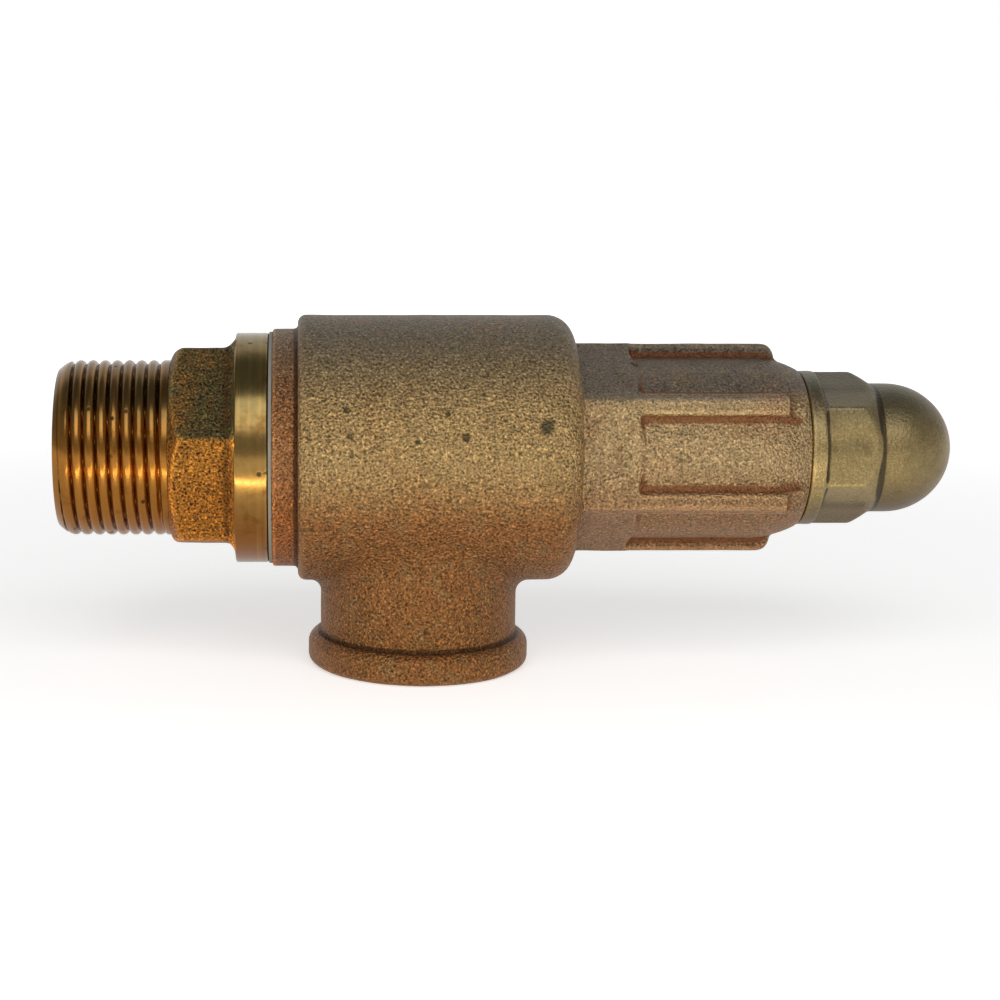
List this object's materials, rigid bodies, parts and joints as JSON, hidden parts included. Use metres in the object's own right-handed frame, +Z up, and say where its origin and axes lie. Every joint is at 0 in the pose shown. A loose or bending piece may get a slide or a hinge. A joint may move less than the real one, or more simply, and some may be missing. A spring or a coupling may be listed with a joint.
{
  "type": "safety valve",
  "caption": "Spring-loaded bronze safety valve: screwed inlet, angled screwed outlet, ribbed spring bonnet and domed cap over the setting screw.",
  "frame": {"origin": "centre of the box around the valve, at the height of the outlet's face, on which it stands", "axes": "+X along the valve from the inlet to the cap, +Z up, away from the outlet, which points to -Z"},
  "size_m": [0.169, 0.0504, 0.0668],
  "materials": {
    "cast_bronze": "cast, fine sand grain",
    "bright_brass": "turned",
    "cap_bronze": "cast, smooth and dull",
    "stainless": "turned",
    "spring_steel": "drawn wire",
    "fibre": "pressed fibre sheet",
    "seal_white": "satin"
  },
  "bodies": {
    "valve": {"inlet_nozzle": "bright_brass", "nozzle_gasket": "fibre", "valve_body": "cast_bronze", "guide_sleeve": "bright_brass", "spring": "spring_steel", "bonnet_gasket": "fibre", "bonnet": "cast_bronze"},
    "disc_assembly": {"disc_holder": "stainless", "disc_seal": "seal_white", "seal_retainer": "stainless", "seal_screw": "stainless", "spindle_ball": "stainless", "spindle": "stainless", "spindle_pin": "stainless", "lower_spring_plate": "stainless"},
    "spring_seat": {"upper_spring_plate": "stainless"},
    "setting_screw": {"adjusting_screw": "stainless"},
    "washer": {"lock_washer": "stainless"},
    "nut": {"lock_nut": "stainless"},
    "cap_seal": {"cap_gasket": "fibre"},
    "cap": {"cap": "cap_bronze"}
  },
  "joints": [
    {"name": "disc_lift", "type": "slide", "parent": "valve", "child": "disc_assembly", "axis": [1, 0, 0], "range_m": [0, 0.003], "stiffness_N_per_m": 26000, "deforming": ["spring"]},
    {"name": "setting_travel", "type": "slide", "parent": "valve", "child": "spring_seat", "axis": [1, 0, 0], "range_m": [-0.0035, 0.00175], "deforming": ["spring"]},
    {"name": "screw_turn", "type": "hinge", "parent": "spring_seat", "child": "setting_screw", "pos_m": [0.0479, 0, 0.0416], "axis": [1, 0, 0], "range_deg": [-720, 360]},
    {"name": "washer_travel", "type": "slide", "parent": "valve", "child": "washer", "axis": [1, 0, 0], "range_m": [0, 0.00175]},
    {"name": "lock_nut_turn", "type": "hinge", "parent": "washer", "child": "nut", "pos_m": [0.0641, 0, 0.0416], "axis": [1, 0, 0], "range_deg": [0, 360]},
    {"name": "cap_travel", "type": "slide", "parent": "valve", "child": "cap_seal", "axis": [1, 0, 0], "range_m": [0, 0.0075]},
    {"name": "cap_turn", "type": "hinge", "parent": "cap_seal", "child": "cap", "pos_m": [0.0563, 0, 0.0416], "axis": [1, 0, 0], "range_deg": [0, 1800]}
  ],
  "couplings": [
    {"joint": "screw_turn", "follows": "setting_travel", "rad_per_m": 3590.4},
    {"joint": "lock_nut_turn", "follows": "washer_travel", "rad_per_m": 3590.4},
    {"joint": "cap_turn", "follows": "cap_travel", "rad_per_m": 4188.8}
  ]
}
